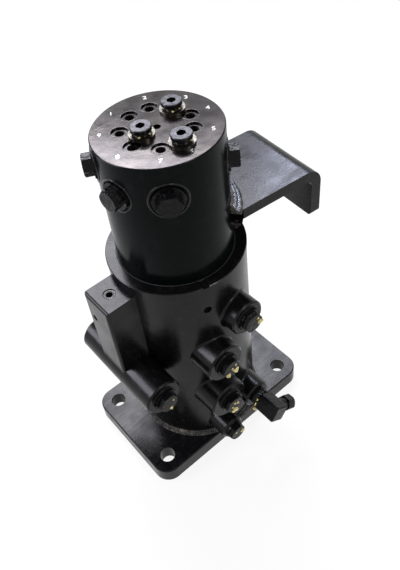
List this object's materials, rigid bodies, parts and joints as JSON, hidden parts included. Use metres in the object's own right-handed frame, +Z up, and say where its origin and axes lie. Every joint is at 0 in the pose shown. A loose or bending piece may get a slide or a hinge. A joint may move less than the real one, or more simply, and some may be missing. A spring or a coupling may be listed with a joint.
{
  "type": "hydraulic rotary union",
  "caption": "Hydraulic rotary union: a ported rotor that turns without limit in a flanged cast housing, with plugged side ports and a stop bracket.",
  "frame": {"origin": "centre of the mounting flange's underside, on the axis of rotation", "axes": "+Z up along the axis of rotation, +X along the flange's long side towards the stop bracket, port bosses face -Y"},
  "size_m": [0.3131, 0.236, 0.4985],
  "materials": {
    "black_paint": "gloss black enamel over cast iron and steel",
    "rotor_steel": "gloss black enamel, machined bare top face",
    "black_plug": "semi-gloss black finish",
    "seal_washer": "bonded sealing washer, painted over",
    "seal_ring": "matte filled sealing plastic",
    "rubber_seal": "matte black",
    "bronze": "oiled bearing bronze",
    "bare_steel": "machined, oiled"
  },
  "bodies": {
    "housing": {"base_weld": "black_paint", "cross_plug": "black_plug", "cross_plug_washer": "seal_washer", "dust_seal": "rubber_seal", "elbow_cap": "black_plug", "elbow_fitting": "black_plug", "elbow_nut": "black_plug", "foot_cap": "bare_steel", "foot_cap_oring": "rubber_seal", "foot_circlip": "bare_steel", "housing_body": "black_paint", "mounting_flange": "black_paint", "port_plug_a": "black_plug", "port_plug_a_washer": "seal_washer", "port_plug_b": "black_plug", "port_plug_b_washer": "seal_washer", "port_plug_c": "black_plug", "port_plug_c_washer": "seal_washer", "port_plug_e": "black_plug", "port_plug_e_washer": "seal_washer", "rim_ring": "black_paint", "rotary_seal_1": "seal_ring", "rotary_seal_2": "seal_ring", "rotary_seal_3": "seal_ring", "rotary_seal_4": "seal_ring", "rotary_seal_5": "seal_ring", "rotary_seal_6": "seal_ring", "rotary_seal_7": "seal_ring", "thrust_washer": "bronze", "vent_screw": "black_plug"},
    "rotor": {"bracket_weld_top": "black_paint", "bracket_weld_under": "black_paint", "head_plug_1": "black_plug", "head_plug_1_washer": "seal_washer", "head_plug_2": "black_plug", "head_plug_2_washer": "seal_washer", "head_plug_3": "black_plug", "head_plug_3_washer": "seal_washer", "head_plug_4": "black_plug", "head_plug_4_washer": "seal_washer", "retaining_plate": "bare_steel", "retaining_screw_1": "bare_steel", "retaining_screw_2": "bare_steel", "retaining_screw_3": "bare_steel", "retaining_screw_4": "bare_steel", "rotor": "rotor_steel", "stop_bracket": "black_paint", "top_plug_1": "black_plug", "top_plug_2": "black_plug", "top_plug_3": "black_plug"}
  },
  "joints": [
    {"name": "rotor_spin", "type": "hinge", "parent": "housing", "child": "rotor", "pos_m": [0, 0, 0.25], "axis": [0, 0, 1], "continuous": true}
  ]
}
